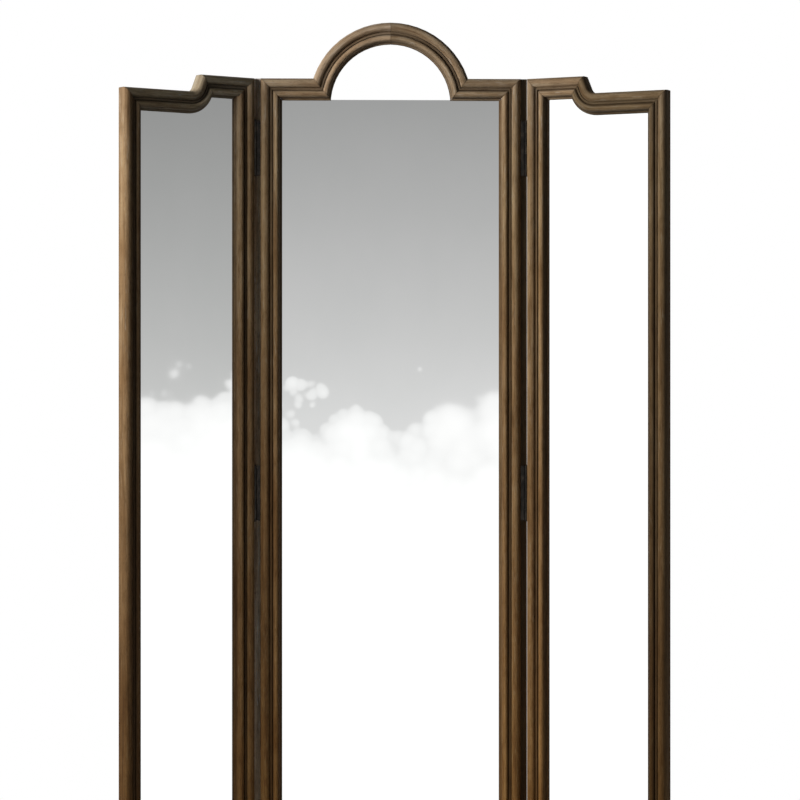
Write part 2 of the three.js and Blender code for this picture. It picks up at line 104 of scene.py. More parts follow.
# Colours of the finish on the wood, and of the light and shade painted on it
# Dark glazing in the joints, and glazing with painted shade in the hollows
GLAZE_AND_SHADE = (0.040, 0.024, 0.013, 1)
PORES = (0.060, 0.036, 0.020, 1)
FLECKS = (0.42, 0.36, 0.27, 1)
BARE_WOOD = (0.36, 0.26, 0.16, 1)
HIGHLIGHT_GAIN = (1.50, 1.48, 1.44, 1)  # times the stained colour, a painted highlight on the crests
CROWN_LIGHT = (1.03, 1.08, 1.22, 1)  # times the stained colour, painted cool light at the crown
FOOT_SHADE = (0.92, 0.68, 0.40)  # times the stained colour, painted shade at the foot
OUTER_FOOT_SHADE = (0.62, 0.46, 0.27)  # painted shade: the wings' outer stiles are darkest at the foot
UNCHANGED = (1, 1, 1, 1)

# Finish of the edges
WELD = 0.01 * MM
FLAT_ANGLE = math.radians(0.3)
ARRIS = 0.25 * MM
SHARP_ANGLE = math.radians(38)

# Small fasteners
SCREW_RADIUS = 2.6 * MM
SCREW_STAND = 0.25 * MM
SCREW_SIDES = 20
SCREW_SPACING = 38 * MM
FIXED_SCREW_TURN = 0.6  # of the slots, from one screw to the next, in radians
MOVING_SCREW_TURN = 0.9
MOVING_SCREW_DEPTH = 12.5 * MM  # behind the hinge axis
POINT_COUNT = 7  # up each stile
POINT_SPACING = 240 * MM
POINT_MARGIN = 60 * MM
POINT_REACH = 7 * MM
POINT_WIDTH = 9 * MM
POINT_THICKNESS = 0.6 * MM

# Glue in the joint at the crown
GLUE_THICKNESS = 0.28 * MM
GLUE_INSET = 1.2 * MM
GLUE_FRONT = 15 * MM  # from the back of the frame

# Camera: a little to the left of the mirror's middle, level, at about chest height
CAMERA_DISTANCE = 6.557  # from the plane of the hinge axes
CAMERA_HEIGHT = 1.004
CAMERA_TURN = math.radians(1.5)
CAMERA_ASIDE = 19.4 * MM
CAMERA_LENS = 141.4
CAMERA_RISE = 0.0230  # the horizon lies this share of the picture's width below its middle

FLOOR_RADIUS = 1.3
CLOUD_HEIGHT = 0.030  # how far the reflected clouds heap up, in radians
FOOT_LEVEL = 0.2  # height where the painted shade is deepest
HEAD_LEVEL = 1.5  # height above which it is even
CROWN_LEVEL = 1.72  # height above which the painted cool light is full
TREE_STEP = (7.31, 0.57, 0.23)  # from the wood of one piece to that of the next
FAR = 1.0  # further from a joint than any part of a piece that has none

hinge_places = {joint["name"]: joint["pos_m"] for joint in frame["joints"]}
left_axis_x = hinge_places["left_wing_hinge"][0]
right_axis_x, AXIS_Y, _ = hinge_places["right_wing_hinge"]
CENTRE_X = (left_axis_x + right_axis_x) / 2
AXIS_X = right_axis_x - CENTRE_X  # from the middle of the centre panel
BACK_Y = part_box("centre_right_stile")[1].y


# Camera, lights and surroundings


def make_camera():
    turn = Matrix.Rotation(-CAMERA_TURN, 3, "Z")
    data = bpy.data.cameras.new("camera")
    data.lens = CAMERA_LENS
    data.shift_y = CAMERA_RISE
    camera = bpy.data.objects.new("camera", data)
    camera.location = turn @ Vector((CAMERA_ASIDE, -CAMERA_DISTANCE, 0))
    camera.location += Vector((CENTRE_X, AXIS_Y, CAMERA_HEIGHT))
    camera.rotation_euler = (math.pi / 2, 0, -CAMERA_TURN)
    bpy.context.scene.collection.objects.link(camera)
    bpy.context.scene.camera = camera


def soft_light(name, location, target, size, power, spread, colour):
    data = bpy.data.lights.new(name, "AREA")
    data.shape = "RECTANGLE"
    data.size, data.size_y = size
    data.energy = power
    data.spread = math.radians(spread)
    data.color = colour
    light = bpy.data.objects.new(name, data)
    light.location = location
    direction = Vector(target) - Vector(location)
    light.rotation_euler = direction.to_track_quat("-Z", "Y").to_euler()
    light.visible_glossy = False
    bpy.context.scene.collection.objects.link(light)


def make_lights():
    """A strong key from the left, one behind that the backs are seen by, and a weak one from the right."""
    soft_light(
        "key",
        location=(-2.65, -1.3, 2.0),
        target=(0, 0, 1.75),
        size=(2.0, 0.8),
        power=41,
        spread=100,
        colour=(1.0, 0.98, 0.95),
    )
    soft_light(
        "back",
        location=(0.1, 2.6, 2.2),
        target=(0, 0, 0.9),
        size=(1.6, 1.0),
        power=40,
        spread=140,
        colour=(1.0, 0.99, 0.97),
    )
    soft_light(
        "right",
        location=(2.4, 1.3, 1.6),
        target=(0, 0, 1.0),
        size=(1.0, 1.4),
        power=2,
        spread=140,
        colour=(1.0, 0.98, 0.95),
    )


class Graph:
    """Short names for building a node tree."""

    def __init__(self, tree):
        self.tree = tree
        tree.nodes.clear()

    def add(self, kind, **settings):
        node = self.tree.nodes.new(kind)
        for key, value in settings.items():
            setattr(node, key, value)
        return node

    def put(self, socket, value):
        if isinstance(value, bpy.types.NodeSocket):
            self.tree.links.new(value, socket)
        elif value is not None:
            socket.default_value = value

    def attribute(self, name):
        node = self.add("ShaderNodeAttribute", attribute_name=name)
        return node.outputs["Vector"]

    def axes(self, vector):
        node = self.add("ShaderNodeSeparateXYZ")
        self.put(node.inputs[0], vector)
        return node.outputs

    def stretch(self, vector, scale):
        node = self.add("ShaderNodeMapping")
        self.put(node.inputs["Vector"], vector)
        node.inputs["Scale"].default_value = scale
        return node.outputs[0]

    def noise(self, vector, detail=2.0, roughness=0.5, distortion=0.0):
        node = self.add("ShaderNodeTexNoise")
        self.put(node.inputs["Vector"], vector)
        node.inputs["Scale"].default_value = 1.0
        node.inputs["Detail"].default_value = detail
        node.inputs["Roughness"].default_value = roughness
        node.inputs["Distortion"].default_value = distortion
        return node.outputs["Fac"]

    def lumps(self, vector, scale):
        """Rounded heaps, 1 at the middle of each."""
        node = self.add("ShaderNodeTexVoronoi", feature="SMOOTH_F1")
        self.put(node.inputs["Vector"], vector)
        node.inputs["Scale"].default_value = scale
        node.inputs["Smoothness"].default_value = 0.15
        return self.math("SUBTRACT", 1.0, node.outputs["Distance"])

    def math(self, operation, a, b=None, clamp=False):
        node = self.add("ShaderNodeMath", operation=operation, use_clamp=clamp)
        self.put(node.inputs[0], a)
        self.put(node.inputs[1], b)
        return node.outputs[0]

    def fade(self, value, start, end, low=0.0, high=1.0):
        """Eased from low at start to high at end."""
        node = self.add("ShaderNodeMapRange", interpolation_type="SMOOTHSTEP")
        self.put(node.inputs["Value"], value)
        node.inputs["From Min"].default_value = start
        node.inputs["From Max"].default_value = end
        node.inputs["To Min"].default_value = low
        node.inputs["To Max"].default_value = high
        return node.outputs[0]

    def scale(self, value, start, end):
        """Straight from 0 at start to 1 at end."""
        node = self.add("ShaderNodeMapRange")
        self.put(node.inputs["Value"], value)
        node.inputs["From Min"].default_value = start
        node.inputs["From Max"].default_value = end
        return node.outputs[0]

    def multiply(self, a, b):
        return self.mix(1.0, a, b, "MULTIPLY")

    def mix(self, share, a, b, blend="MIX"):
        node = self.add("ShaderNodeMix", data_type="RGBA", blend_type=blend)
        sockets = {socket.identifier: socket for socket in [*node.inputs, *node.outputs]}
        self.put(sockets["Factor_Float"], share)
        self.put(sockets["A_Color"], a)
        self.put(sockets["B_Color"], b)
        return sockets["Result_Color"]

    def ramp(self, value, stops):
        node = self.add("ShaderNodeValToRGB")
        self.put(node.inputs[0], value)
        elements = node.color_ramp.elements
        while len(elements) < len(stops):
            elements.new(0.5)
        for element, (place, colour) in zip(elements, stops):
            element.position = place
            element.color = (*colour, 1)
        return node.outputs[0]

    def bump(self, height, distance, strength):
        node = self.add("ShaderNodeBump")
        node.inputs["Strength"].default_value = strength
        node.inputs["Distance"].default_value = distance
        self.put(node.inputs["Height"], height)
        return node.outputs[0]


def grey(level):
    return (level, level, level)


def make_surroundings():
    """White behind the object, a graded studio in the mirrors, and a weak fill, warm from below."""
    world = bpy.data.worlds.new("studio")
    bpy.context.scene.world = world
    world.use_nodes = True
    graph = Graph(world.node_tree)
    direction = graph.add("ShaderNodeTexCoord").outputs["Generated"]
    x, y, z = graph.axes(direction)

    def background(colour):
        node = graph.add("ShaderNodeBackground")
        graph.put(node.inputs["Color"], colour)
        return node.outputs[0]

    # What the mirrors show: grey that pales toward the horizon, with heaps of cloud below
    upright = graph.ramp(
        graph.scale(z, -0.02, 0.12),
        [
            (0.0, grey(0.80)),
            (0.143, grey(0.74)),
            (0.32, grey(0.62)),
            (0.60, grey(0.475)),
            (0.86, grey(0.368)),
            (1.0, grey(0.33)),
        ],
    )
    sideways = graph.mix(graph.fade(x, 0.1, 0.92), UNCHANGED, (0.84, 0.845, 0.84, 1))
    graded = graph.multiply(upright, sideways)
    heap = graph.math("MULTIPLY", graph.lumps(direction, 60), CLOUD_HEIGHT)
    puffs = graph.math("MULTIPLY", graph.lumps(direction, 190), 0.3 * CLOUD_HEIGHT)
    base = graph.fade(x, 0.2, 0.9, -0.018, -0.010)
    cloud_top = graph.math("ADD", graph.math("ADD", heap, puffs), base)
    over = graph.math("SUBTRACT", cloud_top, z)
    depths = [(0.0, grey(0.86)), (0.3, grey(1.0)), (1.0, grey(1.1))]
    cloud = graph.ramp(graph.scale(over, 0, 0.018), depths)
    graded = graph.mix(graph.fade(over, -0.0006, 0.0012), graded, cloud)
    white_side = graph.mix(graph.fade(x, -0.3, -0.6), graded, (1.15, 1.15, 1.15, 1))
    reflected = graph.mix(graph.fade(y, 0.0, 0.35), white_side, (0.12, 0.12, 0.12, 1))

    fill = graph.ramp(
        graph.scale(z, -1, 1),
        [(0.3, (0.007, 0.005, 0.003)), (0.5, (0.010, 0.010, 0.008)), (0.8, (0.026, 0.031, 0.029))],
    )

    # Straight glossy rays see the reflected studio, camera rays see white, all others the fill
    path = graph.add("ShaderNodeLightPath")
    by_kind = graph.add("ShaderNodeMixShader")
    glossy, diffuse = path.outputs["Is Glossy Ray"], path.outputs["Diffuse Depth"]
    straight = graph.math("SUBTRACT", glossy, diffuse, clamp=True)
    graph.put(by_kind.inputs[0], straight)
    graph.put(by_kind.inputs[1], background(fill))
    graph.put(by_kind.inputs[2], background(reflected))
    seen = graph.add("ShaderNodeMixShader")
    graph.put(seen.inputs[0], path.outputs["Is Camera Ray"])
    graph.put(seen.inputs[1], by_kind.outputs[0])
    graph.put(seen.inputs[2], background((1, 1, 1, 1)))
    output = graph.add("ShaderNodeOutputWorld")
    graph.put(output.inputs[0], seen.outputs[0])


def make_floor():
    bm = bmesh.new()
    bmesh.ops.create_circle(bm, cap_ends=True, segments=128, radius=FLOOR_RADIUS)
    mesh = bpy.data.meshes.new("floor")
    bm.to_mesh(mesh)
    bm.free()
    floor = bpy.data.objects.new("floor", mesh)
    material, graph = new_material("pale_floor")
    place = graph.add("ShaderNodeTexCoord").outputs["Object"]
    cloud = graph.noise(graph.stretch(place, (3, 3, 3)), detail=3)
    colour = graph.ramp(cloud, [(0.3, (0.80, 0.80, 0.79)), (0.7, (0.86, 0.86, 0.85))])
    finish_material(graph, colour, roughness=0.7)
    mesh.materials.append(material)
    bpy.context.scene.collection.objects.link(floor)


# Materials


def new_material(name):
    material = bpy.data.materials.new(name)
    material.use_nodes = True
    return material, Graph(material.node_tree)


def finish_material(graph, colour, roughness, metallic=0.0, normal=None, specular=0.5):
    shader = graph.add("ShaderNodeBsdfPrincipled")
    graph.put(shader.inputs["Base Color"], colour)
    graph.put(shader.inputs["Roughness"], roughness)
    graph.put(shader.inputs["Normal"], normal)
    shader.inputs["Metallic"].default_value = metallic
    shader.inputs["Specular IOR Level"].default_value = specular
    output = graph.add("ShaderNodeOutputMaterial")
    graph.put(output.inputs["Surface"], shader.outputs[0])


def stained_oak(name, shade=(1, 1, 1), bead_shade=1.0, foot_shade=FOOT_SHADE):
    """Open-grained oak with dark glazing in the joints, glazing and painted shade in the grooves, and a
    paler back.

    shade colours the whole of it as painted light or shade, bead_shade paints shade on its inner
    side from the bead on, and foot_shade paints shade on its foot.

    It reads three attributes of the mesh. fibre runs along, across and into the wood. profile
    holds the distance from the outer edge, the height above the back and the height above the
    floor. joint holds the distances from the two end joints.
    """
    material, graph = new_material(name)
    fibre = graph.attribute("fibre")
    inward, height, level = graph.axes(graph.attribute("profile"))
    joint_a, joint_b, _ = graph.axes(graph.attribute("joint"))

    figure = graph.noise(graph.stretch(fibre, (3.5, 120, 90)), detail=5, roughness=0.62, distortion=0.25)
    strands = graph.noise(graph.stretch(fibre, (22, 620, 620)), detail=3, roughness=0.6)
    pores = graph.noise(graph.stretch(fibre, (130, 1700, 1700)), detail=1)
    cloud = graph.noise(graph.stretch(fibre, (5, 16, 16)), detail=3, roughness=0.55)
    mottle = graph.noise(graph.stretch(fibre, (24, 95, 95)), detail=3, roughness=0.6)
    scratches = graph.noise(graph.stretch(fibre, (38, 430, 430)), detail=2, roughness=0.55)
    tone = graph.noise(graph.stretch(fibre, (0.6, 1.5, 1.5)), detail=0)

    # The stained wood: its figure, streaks, weathered and mottled places, tone, pores and flecks
    wood = graph.ramp(
        figure,
        [
            (0.30, (0.150, 0.092, 0.046)),
            (0.44, (0.235, 0.156, 0.085)),
            (0.56, (0.300, 0.209, 0.120)),
            (0.72, (0.390, 0.290, 0.180)),
        ],
    )
    streaks = graph.ramp(strands, [(0.3, grey(0.78)), (0.5, grey(1.0)), (0.72, grey(1.16))])
    wood = graph.multiply(wood, streaks)
    weather = graph.ramp(cloud, [(0.32, (0.86, 0.80, 0.73)), (0.5, (1, 1, 1)), (0.68, (1.1, 1.12, 1.14))])
    wood = graph.multiply(wood, weather)
    spots = graph.ramp(mottle, [(0.32, (0.78, 0.76, 0.72)), (0.48, (1, 1, 1)), (0.68, (1.10, 1.12, 1.12))])
    wood = graph.multiply(wood, spots)
    board_tone = graph.ramp(tone, [(0.35, (0.93, 0.91, 0.88)), (0.65, (1.06, 1.06, 1.06))])
    wood = graph.multiply(wood, board_tone)
    pore_mask = graph.fade(pores, 0.60, 0.70, 0.0, 0.55)
    wood = graph.mix(pore_mask, wood, PORES)
    flecks = graph.fade(scratches, 0.56, 0.68, 0.0, 0.45)
    flecks = graph.math("MULTIPLY", flecks, graph.fade(cloud, 0.38, 0.6))
    wood = graph.mix(flecks, wood, FLECKS)

    # Painted shade, deeper toward the foot, and painted cool light at the crown
    # Painted shade: darker toward the foot, where less light falls
    foot_shade_share = graph.scale(level, HEAD_LEVEL, FOOT_LEVEL)
    wood = graph.multiply(wood, graph.mix(foot_shade_share, UNCHANGED, (*foot_shade, 1)))
    # Painted cool light, full at the crown
    crown_light = graph.fade(level, HEAD_LEVEL, CROWN_LEVEL)
    wood = graph.multiply(wood, graph.mix(crown_light, UNCHANGED, CROWN_LIGHT))

    # Dark glazing in the joints, and glazing with painted shade in the hollows, both uneven
    nearest = graph.math("MINIMUM", joint_a, joint_b)
    seam = graph.fade(nearest, 0.25 * MM, 1.3 * MM, 0.42, 0.0)
    glaze_and_shade = graph.math("MAXIMUM", banded(graph, inward, GLAZE_AND_SHADE_BANDS), seam, clamp=True)
    patchy_glaze_and_shade = graph.math("MULTIPLY", glaze_and_shade, graph.fade(cloud, 0.25, 0.65, 0.55, 0.9))
    wood = graph.mix(patchy_glaze_and_shade, wood, GLAZE_AND_SHADE)

    # Painted highlight: the crests made paler, unevenly
    crest_highlight = banded(graph, inward, PAINTED_HIGHLIGHT_BANDS)
    patchy_highlight = graph.math("MULTIPLY", crest_highlight, graph.fade(cloud, 0.3, 0.65, 0.6, 1.0))
    wood = graph.mix(patchy_highlight, wood, graph.multiply(wood, HIGHLIGHT_GAIN))

    # The tone of this piece, with its painted light or shade, and painted shade on its inner side from the
    # bead on
    past_valley = graph.fade(inward, VALLEY, VALLEY + 5 * MM)
    wood = graph.mix(past_valley, wood, graph.multiply(wood, (*grey(bead_shade), 1)))
    wood = graph.multiply(wood, (*shade, 1))

    # The back was left without stain
    bare = graph.fade(height, 0.2 * MM, 0.6 * MM, 1.0, 0.0)
    raw = graph.multiply(graph.mix(0.5, wood, BARE_WOOD), streaks)
    wood = graph.mix(bare, wood, raw)

    roughness = graph.math("MULTIPLY_ADD", strands, 0.22)
    roughness.node.inputs[2].default_value = 0.42
    depth = graph.math("SUBTRACT", strands, graph.math("MULTIPLY", pore_mask, 1.6))
    finish_material(graph, wood, roughness, normal=graph.bump(depth, 0.12 * MM, 0.55), specular=0.14)
    return material


def banded(graph, inward, bands):
    """The sum of soft bands that run along the moulding."""
    total = None
    for place, half_width, strength in bands:
        away = graph.math("ABSOLUTE", graph.math("SUBTRACT", inward, place))
        band = graph.fade(away, 0.3 * half_width, half_width, strength, 0.0)
        total = band if total is None else graph.math("ADD", total, band)
    return total


def oaks_with_painted_light():
    """The pieces whose wood is darker, paler or greyer than the rest: painted light and shade on them."""
    # Painted shade: the left wing's top rails greyer, the outer stiles darker
    greyer = stained_oak("shaded_oak", shade=(1.06, 1.22, 1.38))
    left_outer = {"shade": (0.93, 0.90, 0.88), "bead_shade": 0.6, "foot_shade": OUTER_FOOT_SHADE}
    right_outer = {"shade": (0.72, 0.72, 0.70), "bead_shade": 0.55, "foot_shade": OUTER_FOOT_SHADE}
    return {
        "left_wing_outer_stile": stained_oak("shaded_left_outer_oak", **left_outer),
        "right_wing_outer_stile": stained_oak("shaded_right_outer_oak", **right_outer),
        # Painted light on the left batten in its gap, painted shade on the right one
        "left_hinge_batten": stained_oak("lit_grey_oak", shade=(2.3, 2.9, 4.2), foot_shade=(1, 1, 1)),
        "right_hinge_batten": stained_oak("shaded_dark_oak", shade=(0.34, 0.36, 0.38)),
        "left_wing_raised_rail": greyer,
        "left_wing_swept_rail": greyer,
        # Painted shade on the right wing's swept rail
        "right_wing_swept_rail": stained_oak("shaded_brown_oak", shade=(0.66, 0.65, 0.60), bead_shade=0.7),
        # Painted light: the left half of the arch paler than the right
        "arch_left_half": stained_oak("lit_pale_oak", shade=(1.24, 1.28, 1.38)),
        "arch_right_half": stained_oak("lit_crown_oak", shade=(1.08, 1.09, 1.10), bead_shade=0.8),
    }


def silvered_glass():
    """A clean mirror with a faint haze, and a greenish cut edge at its top and foot."""
    material, graph = new_material("silvered_glass")
    coordinates = graph.add("ShaderNodeTexCoord")
    place = coordinates.outputs["Object"]
    haze = graph.noise(graph.stretch(place, (4, 4, 2.5)), detail=4, roughness=0.6)
    tint = graph.ramp(haze, [(0.35, (0.915, 0.925, 0.918)), (0.65, (0.945, 0.950, 0.945))])
    upward = graph.axes(coordinates.outputs["Normal"])[2]
    cut_edge = graph.fade(graph.math("ABSOLUTE", upward), 0.6, 0.9)
    colour = graph.mix(cut_edge, tint, (0.30, 0.42, 0.37, 1))
    roughness = graph.fade(haze, 0.3, 0.8, 0.008, 0.03)
    finish_material(graph, colour, roughness, metallic=1.0)
    return material


def dark_metal():
    """Oiled black steel: near black, with brown patches where the black wore thin."""
    material, graph = new_material("dark_metal")
    place = graph.add("ShaderNodeTexCoord").outputs["Object"]
    rub = graph.noise(graph.stretch(place, (160, 160, 60)), detail=4, roughness=0.65)
    fine = graph.noise(graph.stretch(place, (900, 900, 900)), detail=2)
    colour = graph.ramp(
        rub, [(0.3, (0.012, 0.011, 0.010)), (0.55, (0.030, 0.026, 0.022)), (0.78, (0.085, 0.066, 0.047))]
    )
    roughness = graph.fade(rub, 0.3, 0.8, 0.55, 0.34)
    finish_material(graph, colour, roughness, metallic=0.85, normal=graph.bump(fine, 0.05 * MM, 0.4))
    return material


def hardboard():
    """Brown back board with pressed fibres and a few scuffs."""
    material, graph = new_material("hardboard")
    place = graph.add("ShaderNodeTexCoord").outputs["Object"]
    fibres = graph.noise(graph.stretch(place, (320, 320, 240)), detail=5, roughness=0.7, distortion=1.2)
    cloud = graph.noise(graph.stretch(place, (5, 5, 3)), detail=3)
    colour = graph.ramp(
        fibres, [(0.3, (0.135, 0.083, 0.046)), (0.52, (0.225, 0.146, 0.086)), (0.75, (0.315, 0.220, 0.140))]
    )
    colour = graph.multiply(colour, graph.ramp(cloud, [(0.3, grey(0.88)), (0.7, grey(1.08))]))
    roughness = graph.fade(cloud, 0.2, 0.8, 0.72, 0.88)
    finish_material(graph, colour, roughness, normal=graph.bump(fibres, 0.15 * MM, 0.5))
    return material


def glide_nylon():
    """Dark moulded nylon, scuffed by the floor."""
    material, graph = new_material("glide_nylon")
    place = graph.add("ShaderNodeTexCoord").outputs["Object"]
    scuff = graph.noise(graph.stretch(place, (400, 400, 900)), detail=3, roughness=0.6)
    colour = graph.ramp(scuff, [(0.35, (0.017, 0.014, 0.012)), (0.7, (0.052, 0.046, 0.040))])
    roughness = graph.fade(scuff, 0.3, 0.75, 0.42, 0.68)
    finish_material(graph, colour, roughness, normal=graph.bump(scuff, 0.05 * MM, 0.4))
    return material


# Pieces shaped from the CAD solids: welded, with their arrises softened


def shaped_mesh(node):
    bm = bmesh.new()
    bm.from_mesh(frame["nodes"][node].data)
    bmesh.ops.remove_doubles(bm, verts=bm.verts, dist=WELD)
    bmesh.ops.dissolve_limit(bm, angle_limit=FLAT_ANGLE, verts=bm.verts, edges=bm.edges)
    sharp = [e for e in bm.edges if len(e.link_faces) == 2 and e.calc_face_angle(0) > SHARP_ANGLE]
    bmesh.ops.bevel(bm, geom=sharp, offset=ARRIS, offset_type="OFFSET", segments=2, profile=0.5,
                    affect="EDGES", clamp_overlap=True)
    bmesh.ops.dissolve_degenerate(bm, dist=WELD, edges=bm.edges)
    mesh = bpy.data.meshes.new(f"{node}_shaped")
    bm.to_mesh(mesh)
    bm.free()
    mesh.shade_smooth()
    mesh.set_sharp_from_angle(angle=SHARP_ANGLE)
    return mesh


def shaped_piece(node, body, material):
    mesh = shaped_mesh(node)
    mesh.materials.append(material)
    piece = bpy.data.objects.new(f"{node}_shaped", mesh)
    bpy.context.scene.collection.objects.link(piece)
    normals = piece.modifiers.new("flat faces stay flat", "WEIGHTED_NORMAL")
    normals.keep_sharp = True
    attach(piece, body)
    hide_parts(node)
    return piece


def points_of(mesh):
    points = np.empty(len(mesh.vertices) * 3)
    mesh.vertices.foreach_get("co", points)
    return points.reshape(-1, 3)


def set_attribute(mesh, name, columns):
    attribute = mesh.attributes.new(name, "FLOAT_VECTOR", "POINT")
    attribute.data.foreach_set("vector", np.column_stack(columns).astype(np.float32).ravel())


# Places in each panel's own plane: across the panel, above the back and up from the floor


def centre_place(points, side):
    return SIDES[side] * (points[:, 0] - CENTRE_X), BACK_Y - points[:, 1], points[:, 2]


def wing_place(points, side):
    """As if the wing were opened in line with the centre panel, counted from its hinge edge."""
    fold = REST_FOLD[side]
    out = SIDES[side] * (points[:, 0] - CENTRE_X) - AXIS_X
    back = points[:, 1] - AXIS_Y
    across = out * math.cos(fold) - back * math.sin(fold) - AXIS_TO_WING
    depth = out * math.sin(fold) + back * math.cos(fold)
    return across, MOULDING_DEPTH - AXIS_DEPTH - depth, points[:, 2]


ARCH_CENTRE = (0, RAIL_TOP + ARCH_RISE - ARCH_RADIUS)
LOWER_TOP = RAIL_TOP - STEP_DOWN
SLOPE_LENGTH = (STEP_DOWN - SWEEP_RADIUS * (1 - math.cos(SWEEP_ANGLE))) / math.sin(SWEEP_ANGLE)
SWEEP_CENTRE = (
    RAISED_LENGTH + SLOPE_LENGTH * math.cos(SWEEP_ANGLE) + SWEEP_RADIUS * math.sin(SWEEP_ANGLE),
    LOWER_TOP + SWEEP_RADIUS,
)


def along_arch(x, z):
    """(along, inward) for the arch."""
    up = z - ARCH_CENTRE[1]
    return ARCH_RADIUS * np.arctan2(x, up), ARCH_RADIUS - np.hypot(x, up)


def along_sweep(x, z):
    """(along, inward) for the rail that falls along a slope and turns into the shoulder."""
    right = x - SWEEP_CENTRE[0]
    down = SWEEP_CENTRE[1] - z
    heading = np.clip(np.arctan2(right, down), -SWEEP_ANGLE, 0)
    reach = right * np.sin(heading) + down * np.cos(heading)
    past = right * np.cos(heading) - down * np.sin(heading)
    middle_radius = SWEEP_RADIUS + MOULDING_WIDTH / 2
    return middle_radius * heading + past, reach - SWEEP_RADIUS


def corner_line(x, z, toward_x, toward_z):
    """A joint line through an outer corner, as the corner and its direction into the panel."""
    length = math.hypot(toward_x, toward_z)
    return x, z, toward_x / length, toward_z / length


def foot_line():
    """The joint between the arch and the short rail beside it."""
    outer = (math.sqrt(ARCH_RADIUS**2 - (RAIL_TOP - ARCH_CENTRE[1]) ** 2), RAIL_TOP)
    sight = RAIL_TOP - MOULDING_WIDTH
    inner = math.sqrt((ARCH_RADIUS - MOULDING_WIDTH) ** 2 - (sight - ARCH_CENTRE[1]) ** 2)
    return corner_line(*outer, inner - outer[0], -MOULDING_WIDTH)


CENTRE_TOP = corner_line(HALF_CENTRE, RAIL_TOP, -1, -1)
CENTRE_BOTTOM = corner_line(HALF_CENTRE, BASE_HEIGHT, -1, 1)
ARCH_FOOT = foot_line()
ARCH_CROWN = corner_line(0, RAIL_TOP + ARCH_RISE, 0, -1)
HINGE_TOP = corner_line(0, RAIL_TOP, 1, -1)
HINGE_BOTTOM = corner_line(0, BASE_HEIGHT, 1, 1)
RAISED_CORNER = corner_line(RAISED_LENGTH, RAIL_TOP, -math.sin(SWEEP_ANGLE / 2), -math.cos(SWEEP_ANGLE / 2))
OUTER_TOP = corner_line(WING_WIDTH, LOWER_TOP, -1, -1)
OUTER_BOTTOM = corner_line(WING_WIDTH, BASE_HEIGHT, -1, 1)


def distance_from(line, x, z):
    return np.abs((x - line[0]) * line[3] - (z - line[1]) * line[2])


# Each moulding: its run as (along, inward) and its two joints
CENTRE_RUNS = {
    "centre_{side}_stile": (lambda x, z: (z, HALF_CENTRE - x), CENTRE_TOP, CENTRE_BOTTOM),
    "centre_top_rail_{side}": (lambda x, z: (x, RAIL_TOP - z), CENTRE_TOP, ARCH_FOOT),
    "arch_{side}_half": (along_arch, ARCH_FOOT, ARCH_CROWN),
}
WING_RUNS = {
    "{side}_wing_hinge_stile": (lambda x, z: (z, x), HINGE_TOP, HINGE_BOTTOM),
    "{side}_wing_raised_rail": (lambda x, z: (x, RAIL_TOP - z), HINGE_TOP, RAISED_CORNER),
    "{side}_wing_swept_rail": (along_sweep, RAISED_CORNER, OUTER_TOP),
    "{side}_wing_outer_stile": (lambda x, z: (z, WING_WIDTH - x), OUTER_TOP, OUTER_BOTTOM),
    "{side}_wing_bottom_rail": (lambda x, z: (x, z - BASE_HEIGHT), OUTER_BOTTOM, HINGE_BOTTOM),
}


def lay_grain(mesh, along, inward, place, joints, number):
    """Writes where each point lies in the wood. number gives each piece its own part of the tree."""
    _, height, z = place
    fibre = [value + step * number for value, step in zip((along, inward, height), TREE_STEP)]
    set_attribute(mesh, "fibre", fibre)
    set_attribute(mesh, "profile", (inward, height, z))
    set_attribute(mesh, "joint", (*joints, 0 * height))


def make_run(name, body, place_in_panel, side, oak, run, number):
    piece = shaped_piece(name, body, oak)
    place = place_in_panel(points_of(piece.data), side)
    x, _, z = place
    along, inward = run[0](x, z)
    joints = [distance_from(line, x, z) for line in run[1:]]
    lay_grain(piece.data, along, inward, place, joints, number)


def make_batten(side, oak, number):
    batten = shaped_piece(f"{side}_hinge_batten", "centre_panel", oak)
    x, height, z = centre_place(points_of(batten.data), side)
    set_attribute(batten.data, "fibre", (z + TREE_STEP[0] * number, x, height + TREE_STEP[2] * number))
    set_attribute(batten.data, "profile", (x - HALF_CENTRE, height, z))
    set_attribute(batten.data, "joint", (FAR + 0 * x, FAR + 0 * x, 0 * x))


def make_centre_bottom_rail(oak, number):
    """All its points lie at its two ends, so the dark glazing of the joints runs all along it."""
    rail = shaped_piece("centre_bottom_rail", "centre_panel", oak)
    place = centre_place(points_of(rail.data), "right")
    x, _, z = place
    joint = distance_from(CENTRE_BOTTOM, np.abs(x), z)
    lay_grain(rail.data, x, z - BASE_HEIGHT, place, (joint, joint), number)


def make_mouldings(oak, painted_light_oaks):
    """painted_light_oaks holds the wood of the pieces that don't have the common tone, as painted light and
    shade.
    """
    number = 1
    for side in SIDES:
        panels = (
            ("centre_panel", centre_place, CENTRE_RUNS),
            (f"{side}_wing", wing_place, WING_RUNS),
        )
        for body, place_in_panel, runs in panels:
            for pattern, run in runs.items():
                name = pattern.format(side=side)
                make_run(name, body, place_in_panel, side, painted_light_oaks.get(name, oak), run, number)
                number += 1
        make_batten(side, painted_light_oaks[f"{side}_hinge_batten"], number)
        number += 1
    make_centre_bottom_rail(oak, number)


def dress_plates(glass, board):
    """The CAD plates stay, with their own materials."""
    for panel in ("centre", "left_wing", "right_wing"):
        for part, material in (("mirror", glass), ("back_board", board)):
            node = frame["nodes"][f"{panel}_{part}"]
            node.data.materials.clear()
            node.data.materials.append(material)


# Small fasteners


